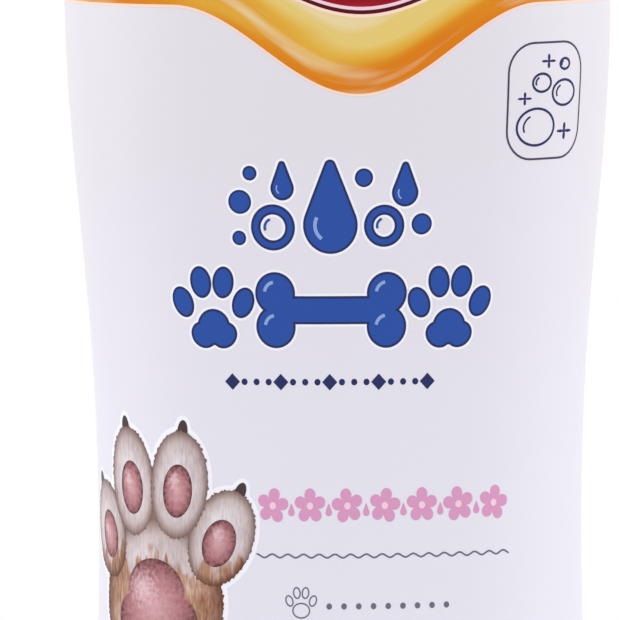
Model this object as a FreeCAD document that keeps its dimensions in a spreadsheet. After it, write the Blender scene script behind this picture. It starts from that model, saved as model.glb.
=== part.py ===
import FreeCAD, Part
import os

import Sketcher

# Shampoo bottle of 20 fl oz (591 ml) with a printed full-height sleeve and a press-top closure.
# Frame: origin at the middle of the base, +Z up, the front of the print faces -Y, millimetres.

SIZES = {
    # Body of the bottle: an oval that narrows to a waist and swells towards the shoulder.
    "base_width": 76.6,
    "base_depth": 53.2,
    "waist_width": 73.2,
    "waist_depth": 51.4,
    "bulge_width": 82.4,
    "bulge_depth": 57.6,
    "heel_top": 8,
    "waist_height": 62,
    "bulge_height": 146,
    "body_height": 205,
    "flare_power": 1.2,
    "shoulder_power": 2.35,
    "crown_share": 0.996,
    "side_angle": 75,
    "wall": 1.1,
    "base_wall": 1.4,
    "heel_radius": 6,
    "foot_width": 8,
    "push_up": 2.6,
    # Neck finish: 28 mm, with one and a half turns of thread.
    "neck_radius": 12.55,
    "neck_wall": 2.05,
    "neck_height": 16.3,
    "neck_root": 1.2,
    "bead_height": 2.6,
    "bead_length": 1.4,
    "bead_depth": 1.1,
    "land_chamfer": 0.5,
    "thread_pitch": 4.233,
    "thread_turns": 1.5,
    "thread_depth": 1.25,
    "thread_base": 2.4,
    "thread_crest": 1.1,
    "thread_start": 5.6,
    # Printed film shrunk on to the bottle.
    "film": 0.2,
    "film_gap": 0.1,
    "sleeve_bottom": 7.5,
    "bare_shoulder": 14,
    # Liquid.
    "headspace": 16,
    "liquid_gap": 0.2,
    # Closure: threaded skirt, deck with an orifice and a seat, and an open well on top.
    "skirt_clearance": 1.2,
    "thread_clearance": 0.55,
    "skirt_wall": 2.15,
    "head_step": 0.5,
    "head_height": 12.6,
    "head_wall": 3,
    "rim_round": 0.8,
    "rim_chamfer": 0.5,
    "scoop_radius": 12,
    "scoop_depth": 1.4,
    "mouth_chamfer": 0.6,
    "deck_thickness": 1.4,
    "orifice_radius": 1.2,
    "seat_radius": 6,
    "seat_height": 1.6,
    "seat_floor": 0.1,
    "rib_count": 60,
    "rib_radius": 0.42,
    "cap_thread_depth": 1.35,
    "liner_thickness": 1,
    "liner_bore": 6,
    "liner_clearance": 0.45,
    # Tilting disc: plate, ball valve, spout and two trunnions.
    "swing_clearance": 0.55,
    "disc_recess": 0.5,
    "disc_gap": 0.4,
    "plate_top": 2.4,
    "plate_thickness": 1.8,
    "plate_round": 0.4,
    "seat_clearance": 0.1,
    "port_radius": 1.6,
    "spout_radius": 2.2,
    "spout_setback": 0.4,
    "tilt_angle": 28,
    "trunnion_radius": 1.2,
    "trunnion_length": 1.2,
    "trunnion_clearance": 0.08,
    "trunnion_end_gap": 0.3,
    "boss_radius": 1.7,
    "boss_length": 2.6,
    "dimple_radius": 12,
    "dimple_depth": 0.9,
    "dimple_offset": 7.8,
}

# Turns of the rounded heel, in degrees, and shares of the rise between two named heights, at
# which the body has a section.
HEEL_TURNS = (20, 40, 60, 75, 90)
FOOT_SHARES = (0.98, 0.9, 0.78, 0.62, 0.42, 0.2)
FLARE_SHARES = (0.0, 0.2, 0.4, 0.6, 0.8, 0.92)
SHOULDER_SHARES = (0.0, 0.14, 0.28, 0.42, 0.55, 0.67, 0.78, 0.87, 0.94, 1.0)

doc = FreeCAD.newDocument("ShampooBottle")
sheet = doc.addObject("Spreadsheet::Sheet", "Sizes")
for row, (alias, value) in enumerate(SIZES.items(), start=1):
    sheet.set(f"A{row}", alias.replace("_", " "))
    sheet.set(f"B{row}", str(value))
    sheet.setAlias(f"B{row}", alias)
doc.recompute()


def size(name):
    """Expression that reads one named size."""
    return f"Sizes.{name}"


def value_of(expression):
    """Number that an expression gives now, used to place geometry before it is constrained."""
    result = sheet.evalExpression(str(expression))
    return float(getattr(result, "Value", result))


LAND = f"({size('body_height')} + {size('neck_height')})"
BORE_RADIUS = f"({size('neck_radius')} - {size('neck_wall')})"
THREAD_LEVEL = f"({size('body_height')} + {size('thread_start')})"
SKIRT_BOTTOM = f"({size('body_height')} + {size('skirt_clearance')})"
SKIRT_BORE = f"({size('neck_radius')} + {size('thread_depth')} + {size('thread_clearance')})"
SKIRT_RADIUS = f"({SKIRT_BORE} + {size('skirt_wall')})"
HEAD_RADIUS = f"({SKIRT_RADIUS} + {size('head_step')})"
WELL_RADIUS = f"({HEAD_RADIUS} - {size('head_wall')})"
DISC_RADIUS = f"({WELL_RADIUS} - {size('disc_gap')})"
DECK_BOTTOM = f"({LAND} + {size('liner_thickness')})"
DECK_TOP = f"({DECK_BOTTOM} + {size('deck_thickness')})"

# The pivot stands so high that the rear of the tilted plate just clears the deck.
TILT = f"({size('tilt_angle')} * 1deg)"
PLATE_LIFT = f"({size('plate_top')} - {size('plate_thickness')})"
REAR_DROP = f"({DISC_RADIUS} * sin({TILT}) - {PLATE_LIFT} * cos({TILT}))"
PIVOT_RISE = f"({REAR_DROP} + {size('swing_clearance')})"
BALL_RADIUS = f"({PIVOT_RISE} - {size('seat_floor')} - {size('seat_clearance')})"
PIVOT = f"({DECK_TOP} + {PIVOT_RISE})"
PLATE_LEVEL = f"({PIVOT} + {size('plate_top')})"
RIM_TOP = f"({PLATE_LEVEL} + {size('disc_recess')})"


def new_body(name):
    """Body whose label names the piece."""
    body = doc.addObject("PartDesign::Body", name)
    body.Label = name
    return body


def origin_item(body, role):
    """Plane or axis of the body's own origin."""
    return next(item for item in body.Origin.OriginFeatures if item.Role == role)


def new_sketch(body, name, role, level="0"):
    """Sketch on one of the body's origin planes, moved along the plane's normal."""
    sketch = body.newObject("Sketcher::SketchObject", name)
    sketch.AttachmentSupport = (origin_item(body, role), [""])
    sketch.MapMode = "FlatFace"
    sketch.setExpression(".AttachmentOffset.Base.z", level)
    return sketch


def drive(sketch, constraint, name, expression):
    """Dimension whose value follows an expression."""
    index = sketch.addConstraint(constraint)
    sketch.renameConstraint(index, name)
    sketch.setExpression(f"Constraints.{name}", expression)


def drive_point(sketch, geometry, end, name, across, up):
    """Pin one point of a sketch by its distances from the origin."""
    for letter, kind, expression in (("x", "DistanceX", across), ("y", "DistanceY", up)):
        number = value_of(expression)
        constraint = Sketcher.Constraint(kind, -1, 1, geometry, end, number)
        drive(sketch, constraint, f"{name}_{letter}", expression)


def polygon(body, name, role, corners, level="0"):
    """Closed outline of straight lines; each corner is a pair of expressions."""
    sketch = new_sketch(body, name, role, level)
    points = [FreeCAD.Vector(value_of(x), value_of(y), 0) for x, y in corners]
    for index, start in enumerate(points):
        sketch.addGeometry(Part.LineSegment(start, points[(index + 1) % len(points)]), False)
    for index in range(len(points)):
        following = (index + 1) % len(points)
        sketch.addConstraint(Sketcher.Constraint("Coincident", index, 2, following, 1))
    for index, (across, up) in enumerate(corners):
        drive_point(sketch, index, 1, f"corner_{index}", across, up)
    return sketch


def circle(body, name, radius, level, across="0", along="0"):
    """Circle on a horizontal plane."""
    sketch = new_sketch(body, name, "XY_Plane", level)
    centre = FreeCAD.Vector(value_of(across), value_of(along), 0)
    normal = FreeCAD.Vector(0, 0, 1)
    sketch.addGeometry(Part.Circle(centre, normal, value_of(radius)), False)
    drive_point(sketch, 0, 3, "centre", across, along)
    drive(sketch, Sketcher.Constraint("Radius", 0, value_of(radius)), "radius", radius)
    return sketch


def oval(body, name, level, half_width, half_depth):
    """Oval of four arcs that meet in one tangent; its side arcs span twice the side angle."""
    angle = f"{size('side_angle')} * 1deg"
    slack = f"((1 - sin({angle})) / cos({angle}))"
    side = f"(({half_depth} - {slack} * {half_width}) / (1 - {slack}))"
    side_centre = f"({half_width} - {side})"
    face_centre = f"({side_centre} * tan({angle}))"
    sketch = new_sketch(body, name, "XY_Plane", level)
    side_radius = value_of(side)
    across = value_of(side_centre)
    along = value_of(face_centre)
    face_radius = value_of(half_depth) + along
    turn = value_of(size("side_angle"))
    middles = ((across, 0), (0, -along), (-across, 0), (0, along))
    radii = (side_radius, face_radius, side_radius, face_radius)
    starts = (-turn, turn, 180 - turn, 180 + turn)
    ends = (turn, 180 - turn, 180 + turn, 360 - turn)
    for middle, radius, start, end in zip(middles, radii, starts, ends):
        centre = FreeCAD.Vector(middle[0], middle[1], 0)
        ring = Part.Circle(centre, FreeCAD.Vector(0, 0, 1), radius)
        first = FreeCAD.Units.Quantity(f"{start} deg").getValueAs("rad").Value
        last = FreeCAD.Units.Quantity(f"{end} deg").getValueAs("rad").Value
        sketch.addGeometry(Part.ArcOfCircle(ring, first, last), False)
    sketch.addConstraint(Sketcher.Constraint("Tangent", 0, 2, 1, 1))
    sketch.addConstraint(Sketcher.Constraint("Coincident", 1, 2, 2, 1))
    sketch.addConstraint(Sketcher.Constraint("Coincident", 2, 2, 3, 1))
    sketch.addConstraint(Sketcher.Constraint("Coincident", 3, 2, 0, 1))
    sketch.addConstraint(Sketcher.Constraint("Symmetric", 0, 2, 1, 2, -2))
    sketch.addConstraint(Sketcher.Constraint("Symmetric", 0, 2, 0, 1, -1))
    sketch.addConstraint(Sketcher.Constraint("Symmetric", 1, 2, 2, 2, -1))
    sketch.addConstraint(Sketcher.Constraint("Equal", 0, 2))
    sketch.addConstraint(Sketcher.Constraint("Equal", 1, 3))
    drive(sketch, Sketcher.Constraint("Radius", 0, side_radius), "side_radius", side)
    drive(sketch, Sketcher.Constraint("DistanceX", -1, 1, 0, 3, across), "side_centre", side_centre)
    drive(sketch, Sketcher.Constraint("DistanceY", 1, 3, -1, 1, along), "face_centre", face_centre)
    return sketch


def blend(low, high, share):
    """Half of a size that swings from one named size to another."""
    return f"({size(low)} + ({size(high)} - {size(low)}) * (1 - cos(180deg * {share})) / 2) / 2"


def body_sections(floor, offset):
    """Levels and half sizes of the body's outline, moved outwards by an offset."""
    sections = []
    for turn in HEEL_TURNS:
        heel = f"({size('heel_radius')} + {offset})"
        level = f"{floor} + {heel} * (cos({HEEL_TURNS[0]}deg) - cos({turn}deg))"
        pull = f"{heel} * (1 - sin({turn}deg))"
        width = f"({size('base_width')} / 2 + {offset} - {pull})"
        depth = f"({size('base_depth')} / 2 + {offset} - {pull})"
        sections.append((level, width, depth))
    for share in FOOT_SHARES:
        level = f"{size('waist_height')} - {share} * ({size('waist_height')} - {size('heel_top')})"
        width = blend("waist_width", "base_width", share)
        depth = blend("waist_depth", "base_depth", share)
        sections.append((level, f"({width} + {offset})", f"({depth} + {offset})"))
    for share in FLARE_SHARES:
        level = f"{size('waist_height')} + {share} * ({size('bulge_height')} - {size('waist_height')})"
        eased = f"{share} ^ {size('flare_power')}"
        width = blend("waist_width", "bulge_width", eased)
        depth = blend("waist_depth", "bulge_depth", eased)
        sections.append((level, f"({width} + {offset})", f"({depth} + {offset})"))
    for share in SHOULDER_SHARES:
        rise = f"({size('body_height')} - {size('bulge_height')} + {offset})"
        level = f"{size('bulge_height')} + {share} * {rise}"
        height_share = f"({share} * {size('crown_share')})"
        power = size("shoulder_power")
        reach = f"(1 - {height_share} ^ {power}) ^ (1 / {power})"
        neck = size("neck_radius")
        width = f"({neck} + ({size('bulge_width')} / 2 - {neck}) * {reach} + {offset})"
        depth = f"({neck} + ({size('bulge_depth')} / 2 - {neck}) * {reach} + {offset})"
        sections.append((level, width, depth))
    return sections


def body_loft(body, name, kind, floor="0", offset="0"):
    """Loft through every section of the body's outline."""
    sketches = []
    for index, (level, width, depth) in enumerate(body_sections(floor, offset)):
        sketches.append(oval(body, f"{name}_section_{index}", level, width, depth))
    loft = body.newObject(f"PartDesign::{kind}Loft", name)
    loft.Profile = sketches[0]
    loft.Sections = sketches[1:]
    doc.recompute()
    return loft


def edges_where(feature, test):
    """Names of the feature's edges that pass a test."""
    return [f"Edge{i}" for i, edge in enumerate(feature.Shape.Edges, start=1) if test(edge)]


def at_level(expression):
    """Test for an edge that lies flat at one height."""
    level = value_of(expression)
    return lambda edge: abs(edge.BoundBox.ZMin - level) < 1e-4 and abs(edge.BoundBox.ZMax - level) < 1e-4


def round_edges(body, name, feature, names, radius):
    """Fillet whose radius follows an expression."""
    fillet = body.newObject("PartDesign::Fillet", name)
    fillet.Base = (feature, names)
    fillet.setExpression("Radius", radius)
    doc.recompute()
    return fillet


def primitive(body, kind, name, sizes, spot=("0", "0", "0"), rotation=None):
    """Additive or subtractive primitive whose sizes and place follow expressions."""
    feature = body.newObject(f"PartDesign::{kind}", name)
    for property_name, expression in sizes.items():
        feature.setExpression(property_name, expression)
    if rotation is not None:
        feature.Placement = FreeCAD.Placement(FreeCAD.Vector(0, 0, 0), rotation)
    for letter, expression in zip("xyz", spot):
        feature.setExpression(f"Placement.Base.{letter}", expression)
    doc.recompute()
    return feature


def trim_from(body, name, level):
    """Remove the slab that starts at a level and is as high as the whole bottle."""
    reach = f"({size('bulge_width')} * 2)"
    corner = f"-{size('bulge_width')}"
    block = {"Length": reach, "Width": reach, "Height": RIM_TOP}
    return primitive(body, "SubtractiveBox", name, block, (corner, corner, level))


def screw_thread(body, name, corners):
    """Ridge wound about the vertical axis, with the pitch and turns of the neck finish."""
    profile = polygon(body, f"{name}_profile", "XZ_Plane", corners)
    doc.recompute()
    helix = body.newObject("PartDesign::AdditiveHelix", name)
    helix.Profile = profile
    helix.ReferenceAxis = (profile, ["V_Axis"])
    helix.Mode = "pitch-turns-angle"
    helix.setExpression("Pitch", size("thread_pitch"))
    helix.setExpression("Turns", size("thread_turns"))
    doc.recompute()
    return helix


def make_bottle():
    """Blow-moulded shell with a rounded heel, a pushed-up base and a threaded neck."""
    body = new_body("bottle")
    body_loft(body, "outside", "Additive")
    body_loft(body, "inside", "Subtractive", size("base_wall"), f"-{size('wall')}")

    foot = size("foot_width")
    half_width = f"({size('base_width')} / 2 - {foot})"
    half_depth = f"({size('base_depth')} / 2 - {foot})"
    rise = body.newObject("PartDesign::Pad", "push_up_roof")
    rise.Profile = oval(body, "roof_outline", "0", half_width, half_depth)
    rise.setExpression("Length", f"{size('push_up')} + {size('base_wall')}")
    hollow = body.newObject("PartDesign::Pocket", "push_up_hollow")
    hollow.Profile = oval(
        body,
        "hollow_outline",
        "0",
        f"({half_width} - {size('wall')})",
        f"({half_depth} - {size('wall')})",
    )
    hollow.setExpression("Length", size("push_up"))
    hollow.Reversed = True
    doc.recompute()

    neck = size("neck_radius")
    root = size("body_height")
    bead = f"({root} + {size('bead_height')})"
    bead_radius = f"({neck} + {size('bead_depth')})"
    bead_slope = f"({size('bead_depth')} / 2)"
    corners = (
        ("0", f"({root} - {size('wall')} / 2)"),
        (f"({neck} + {size('neck_root')})", f"({root} - {size('wall')} / 2)"),
        (f"({neck} + {size('neck_root')})", root),
        (neck, f"({root} + {size('neck_root')})"),
        (neck, f"({bead} - {bead_slope})"),
        (bead_radius, bead),
        (bead_radius, f"({bead} + {size('bead_length')})"),
        (neck, f"({bead} + {size('bead_length')} + {bead_slope})"),
        (neck, f"({LAND} - {size('land_chamfer')})"),
        (f"({neck} - {size('land_chamfer')})", LAND),
        ("0", LAND),
    )
    tube = body.newObject("PartDesign::Revolution", "neck")
    tube.Profile = polygon(body, "neck_profile", "XZ_Plane", corners)
    tube.ReferenceAxis = (tube.Profile[0], ["V_Axis"])
    tube.Angle = 360
    doc.recompute()

    half_base = f"({size('thread_base')} / 2)"
    half_crest = f"({size('thread_crest')} / 2)"
    buried = f"({neck} - {size('thread_depth')} / 5)"
    crest = f"({neck} + {size('thread_depth')})"
    screw_thread(body, "neck_thread", (
        (buried, f"({THREAD_LEVEL} - {half_base})"),
        (neck, f"({THREAD_LEVEL} - {half_base})"),
        (crest, f"({THREAD_LEVEL} - {half_crest})"),
        (crest, f"({THREAD_LEVEL} + {half_crest})"),
        (neck, f"({THREAD_LEVEL} + {half_base})"),
        (buried, f"({THREAD_LEVEL} + {half_base})"),
    ))

    bore = body.newObject("PartDesign::Pocket", "bore")
    bore.Profile = circle(body, "bore_outline", BORE_RADIUS, LAND)
    bore.setExpression("Length", f"{size('neck_height')} + 2 * {size('wall')}")
    doc.recompute()
    return body


def make_sleeve():
    """Printed film over the whole body, open at the heel and on the shoulder."""
    body = new_body("shrink_sleeve")
    body_loft(body, "film_outside", "Additive", "0", f"({size('film_gap')} + {size('film')})")
    body_loft(body, "film_inside", "Subtractive", "0", size("film_gap"))
    trim_from(body, "top_edge", f"{size('body_height')} - {size('bare_shoulder')}")
    trim_from(body, "bottom_edge", f"{size('sleeve_bottom')} - {RIM_TOP}")
    return body


def make_shampoo():
    """Liquid up to its level, as one solid inside the shell."""
    body = new_body("shampoo")
    gap = size("liquid_gap")
    floor = f"({size('base_wall')} + {gap})"
    body_loft(body, "liquid", "Additive", floor, f"-({size('wall')} + {gap})")
    inset = f"({size('foot_width')} - {gap})"
    pocket = body.newObject("PartDesign::Pocket", "over_push_up")
    pocket.Profile = oval(
        body,
        "push_up_outline",
        floor,
        f"({size('base_width')} / 2 - {inset})",
        f"({size('base_depth')} / 2 - {inset})",
    )
    pocket.setExpression("Length", size("push_up"))
    pocket.Reversed = True
    doc.recompute()
    trim_from(body, "level", f"{size('body_height')} - {size('headspace')}")
    return body


def make_liner():
    """Foam ring pressed between the neck's land and the closure's deck."""
    body = new_body("sealing_liner")
    ring = body.newObject("PartDesign::Pad", "ring")
    outer = f"({SKIRT_BORE} - {size('liner_clearance')})"
    ring.Profile = circle(body, "ring_outline", outer, LAND)
    ring.setExpression("Length", size("liner_thickness"))
    hole = body.newObject("PartDesign::Pocket", "hole")
    hole.Profile = circle(body, "hole_outline", size("liner_bore"), DECK_BOTTOM)
    hole.setExpression("Length", size("liner_thickness"))
    doc.recompute()
    return body


def make_closure():
    """Threaded skirt with grip ribs, a deck with the valve seat, and the well for the disc."""
    body = new_body("closure_body")
    mouth = size("mouth_chamfer")
    step = size("head_step")
    head_bottom = f"({RIM_TOP} - {size('head_height')})"
    seat_top = f"({DECK_TOP} + {size('seat_height')})"
    corners = (
        (size("orifice_radius"), DECK_BOTTOM),
        (SKIRT_BORE, DECK_BOTTOM),
        (SKIRT_BORE, f"({SKIRT_BOTTOM} + {mouth})"),
        (f"({SKIRT_BORE} + {mouth})", SKIRT_BOTTOM),
        (SKIRT_RADIUS, SKIRT_BOTTOM),
        (SKIRT_RADIUS, f"({head_bottom} - {step})"),
        (HEAD_RADIUS, head_bottom),
        (HEAD_RADIUS, RIM_TOP),
        (f"({WELL_RADIUS} + {size('rim_chamfer')})", RIM_TOP),
        (WELL_RADIUS, f"({RIM_TOP} - {size('rim_chamfer')})"),
        (WELL_RADIUS, DECK_TOP),
        (size("seat_radius"), DECK_TOP),
        (size("seat_radius"), seat_top),
        (size("orifice_radius"), seat_top),
    )
    shell = body.newObject("PartDesign::Revolution", "shell")
    shell.Profile = polygon(body, "shell_profile", "XZ_Plane", corners)
    shell.ReferenceAxis = (shell.Profile[0], ["V_Axis"])
    shell.Angle = 360
    doc.recompute()

    def outer_rim(edge):
        """True for the outer edge of the rim."""
        return at_level(RIM_TOP)(edge) and edge.BoundBox.XMax > value_of(HEAD_RADIUS) - 1e-4

    round_edges(body, "rim_edge", shell, edges_where(shell, outer_rim), size("rim_round"))
    rib = body.newObject("PartDesign::Pad", "rib")
    rib_bottom = f"({SKIRT_BOTTOM} + {mouth})"
    half_step = f"(180deg / {size('rib_count')})"
    across = f"({SKIRT_RADIUS} * cos({half_step}))"
    along = f"({SKIRT_RADIUS} * sin({half_step}))"
    rib.Profile = circle(body, "rib_outline", size("rib_radius"), rib_bottom, across, along)
    rib.setExpression("Length", f"{head_bottom} + {step} - {rib_bottom}")
    doc.recompute()
    ribs = body.newObject("PartDesign::PolarPattern", "ribs")
    ribs.Originals = [rib]
    ribs.Axis = (origin_item(body, "Z_Axis"), [""])
    ribs.Angle = 360
    ribs.setExpression("Occurrences", size("rib_count"))
    body.Tip = ribs
    doc.recompute()

    seat = f"({BALL_RADIUS} + {size('seat_clearance')})"
    primitive(body, "SubtractiveSphere", "valve_seat", {"Radius": seat}, ("0", "0", PIVOT))

    scoop_level = f"({RIM_TOP} + {size('scoop_radius')} - {size('scoop_depth')})"
    scoop_place = ("0", f"({HEAD_RADIUS} - {size('head_wall')} / 2)", scoop_level)
    scoop = {"Radius": size("scoop_radius")}
    primitive(body, "SubtractiveSphere", "thumb_scoop", scoop, scoop_place)

    depth = f"({DISC_RADIUS} + {size('trunnion_length')} + {size('trunnion_end_gap')})"
    socket = {
        "Radius": f"({size('trunnion_radius')} + {size('trunnion_clearance')})",
        "Height": f"(2 * {depth})",
    }
    sideways = FreeCAD.Rotation(FreeCAD.Vector(0, 1, 0), 90)
    primitive(body, "SubtractiveCylinder", "sockets", socket, (f"-{depth}", "0", PIVOT), sideways)

    level = f"({THREAD_LEVEL} + {size('thread_pitch')} / 2)"
    half_base = f"({size('thread_base')} / 2)"
    half_crest = f"({size('thread_crest')} / 2)"
    buried = f"({SKIRT_BORE} + {size('cap_thread_depth')} / 5)"
    crest = f"({SKIRT_BORE} - {size('cap_thread_depth')})"
    screw_thread(body, "skirt_thread", (
        (buried, f"({level} - {half_base})"),
        (SKIRT_BORE, f"({level} - {half_base})"),
        (crest, f"({level} - {half_crest})"),
        (crest, f"({level} + {half_crest})"),
        (SKIRT_BORE, f"({level} + {half_base})"),
        (buried, f"({level} + {half_base})"),
    ))
    return body


def make_disc():
    """Plate that tips on two trunnions; a ball below it opens and shuts the orifice."""
    body = new_body("dispensing_disc")
    plate = body.newObject("PartDesign::Pad", "plate")
    plate.Profile = circle(body, "plate_outline", DISC_RADIUS, f"({PIVOT} + {PLATE_LIFT})")
    plate.setExpression("Length", size("plate_thickness"))
    doc.recompute()
    round_edges(body, "plate_edge", plate, edges_where(plate, at_level(PLATE_LEVEL)), size("plate_round"))

    ball_top = f"asin({size('plate_top')} / {BALL_RADIUS} / 2)"
    ball = {"Radius": BALL_RADIUS, "Angle2": ball_top}
    primitive(body, "AdditiveSphere", "ball", ball, ("0", "0", PIVOT))

    forwards = FreeCAD.Rotation(FreeCAD.Vector(1, 0, 0), 90)
    spout_length = f"({DISC_RADIUS} - {size('spout_setback')})"
    spout = {"Radius": size("spout_radius"), "Height": spout_length}
    primitive(body, "AdditiveCylinder", "spout", spout, ("0", "0", PIVOT), forwards)

    for side, sign, angle in (("left", "-", -90), ("right", "", 90)):
        sideways = FreeCAD.Rotation(FreeCAD.Vector(0, 1, 0), angle)
        start = (f"{sign}({DISC_RADIUS} - {size('boss_length')})", "0", PIVOT)
        boss_length = f"({size('boss_length')} - {size('disc_gap')})"
        boss = {"Radius": size("boss_radius"), "Height": boss_length}
        primitive(body, "AdditiveCylinder", f"{side}_boss", boss, start, sideways)
        pin_length = f"({size('boss_length')} + {size('trunnion_length')})"
        pin = {"Radius": size("trunnion_radius"), "Height": pin_length}
        primitive(body, "AdditiveCylinder", f"{side}_trunnion", pin, start, sideways)

    bore = {"Radius": size("port_radius"), "Height": DISC_RADIUS}
    primitive(body, "SubtractiveCylinder", "spout_bore", bore, ("0", "0", PIVOT), forwards)
    downwards = FreeCAD.Rotation(FreeCAD.Vector(1, 0, 0), 180 + value_of(size("tilt_angle")))
    port = {"Radius": size("port_radius"), "Height": f"({BALL_RADIUS} * 1.5)"}
    primitive(body, "SubtractiveCylinder", "port", port, ("0", "0", PIVOT), downwards)

    lift = f"({PLATE_LEVEL} + {size('dimple_radius')} - {size('dimple_depth')})"
    dimple = {"Radius": size("dimple_radius")}
    primitive(body, "SubtractiveSphere", "dimple", dimple, ("0", size("dimple_offset"), lift))
    return body


def check(pieces):
    """Refuse a document with a failed object or a piece that is not one valid solid."""
    failed = [item.Name for item in doc.Objects if {"Invalid", "Error"} & set(item.State)]
    if failed:
        raise RuntimeError(f"failed objects: {failed}")
    for piece in pieces:
        shape = piece.Shape
        if shape.isNull() or not shape.isValid() or len(shape.Solids) != 1:
            raise RuntimeError(f"{piece.Label} is not one valid solid")


def write(pieces):
    """One STEP file for each piece."""
    os.makedirs("parts", exist_ok=True)
    for piece in pieces:
        piece.Shape.exportStep(f"parts/{piece.Label}.step")
        box = piece.Shape.BoundBox
        print(f"{piece.Label}: {piece.Shape.Volume / 1000:.2f} ml, {box.XLength:.2f} x {box.YLength:.2f} x "
              f"{box.ZLength:.2f} mm from z {box.ZMin:.2f}")


PIECES = [make_bottle(), make_sleeve(), make_shampoo(), make_liner(), make_closure(), make_disc()]
doc.recompute()
check(PIECES)
write(PIECES)
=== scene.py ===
"""The looks of the shampoo bottle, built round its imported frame.

The label's print is laid out flat, in millimetres: x runs round the bottle from the middle of the front,
along the widest section, and z is the height above the base. The film's outer face carries it round.
"""

import math

import bpy
import numpy as np
from mathutils import Euler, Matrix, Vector
from mathutils.bvhtree import BVHTree
from mathutils.geometry import delaunay_2d_cdt


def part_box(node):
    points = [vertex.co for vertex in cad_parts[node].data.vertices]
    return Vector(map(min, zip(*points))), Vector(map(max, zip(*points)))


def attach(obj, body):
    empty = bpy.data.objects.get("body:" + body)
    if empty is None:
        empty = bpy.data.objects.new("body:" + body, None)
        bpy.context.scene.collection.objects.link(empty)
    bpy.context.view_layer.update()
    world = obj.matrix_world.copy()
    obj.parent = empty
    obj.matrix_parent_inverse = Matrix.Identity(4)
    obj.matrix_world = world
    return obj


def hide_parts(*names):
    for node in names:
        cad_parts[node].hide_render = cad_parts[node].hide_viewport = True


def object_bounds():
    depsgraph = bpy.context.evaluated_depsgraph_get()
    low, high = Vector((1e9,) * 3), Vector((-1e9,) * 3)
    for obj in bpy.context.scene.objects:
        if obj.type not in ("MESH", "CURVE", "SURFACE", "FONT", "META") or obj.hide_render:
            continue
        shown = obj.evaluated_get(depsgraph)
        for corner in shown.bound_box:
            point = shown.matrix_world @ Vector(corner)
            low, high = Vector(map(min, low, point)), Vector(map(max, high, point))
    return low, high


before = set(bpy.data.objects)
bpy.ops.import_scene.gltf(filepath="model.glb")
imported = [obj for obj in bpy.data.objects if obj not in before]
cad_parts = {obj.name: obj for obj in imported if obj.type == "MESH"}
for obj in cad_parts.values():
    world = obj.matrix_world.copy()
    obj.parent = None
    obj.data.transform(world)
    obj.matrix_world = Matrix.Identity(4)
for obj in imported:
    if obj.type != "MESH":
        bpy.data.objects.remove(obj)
cad_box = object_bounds()

MM = 0.001
TURN = 2 * math.pi

# ---------------------------------------------------------------- the film's shape

SIDE_ANGLE = math.radians(75)  # where the section's side arcs meet its flatter face arcs
SIDE_SHARE = (1 - math.sin(SIDE_ANGLE)) / math.cos(SIDE_ANGLE)
PROBES = 90  # levels at which the frame's sleeve is measured
PROBE_MARGIN = 0.3  # the first and last of them lie this far from its ends
FIT_ORDER = 16  # of the smooth curves through what is measured
SLOPE_STEP = 0.05  # mm, for the film's slope

FILM_INSET = 0.1  # the film's face lies this far inside the frame's sleeve, so that the print has room
FILM_THICKNESS = 0.24  # as far as the bottle's wall, so that no gap shows under the cut edges
PRINT_LAYER = 0.022  # each layer of print stands this much higher than the one below it
PRINT_ROOT = 0.01  # how far a print's back is sunk in the film
TUFT = 0.55  # step of a tufted outline
GRAIN = 1.6  # longest stretch of a print's mesh, so that it bends round with the film

SEAM = 84  # where the film's overlap ends, up the back, and its print starts anew
SEAM_WIDTH = 5
SEAM_RISE = 0.08  # as high as the film under the overlap lifts it
SEAM_EDGE = 0.25  # the overlap's step is this wide

FOLD_RISE = 0.07  # along its cut edges the film stands off the bottle in shallow folds this high
FOLD_REACH = 6  # they fade over this height
FOLDS = ((19, 0.4, 0.5), (31, 2.0, 0.3), (43, 5.1, 0.2))  # each wave's count round, start and share


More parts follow.
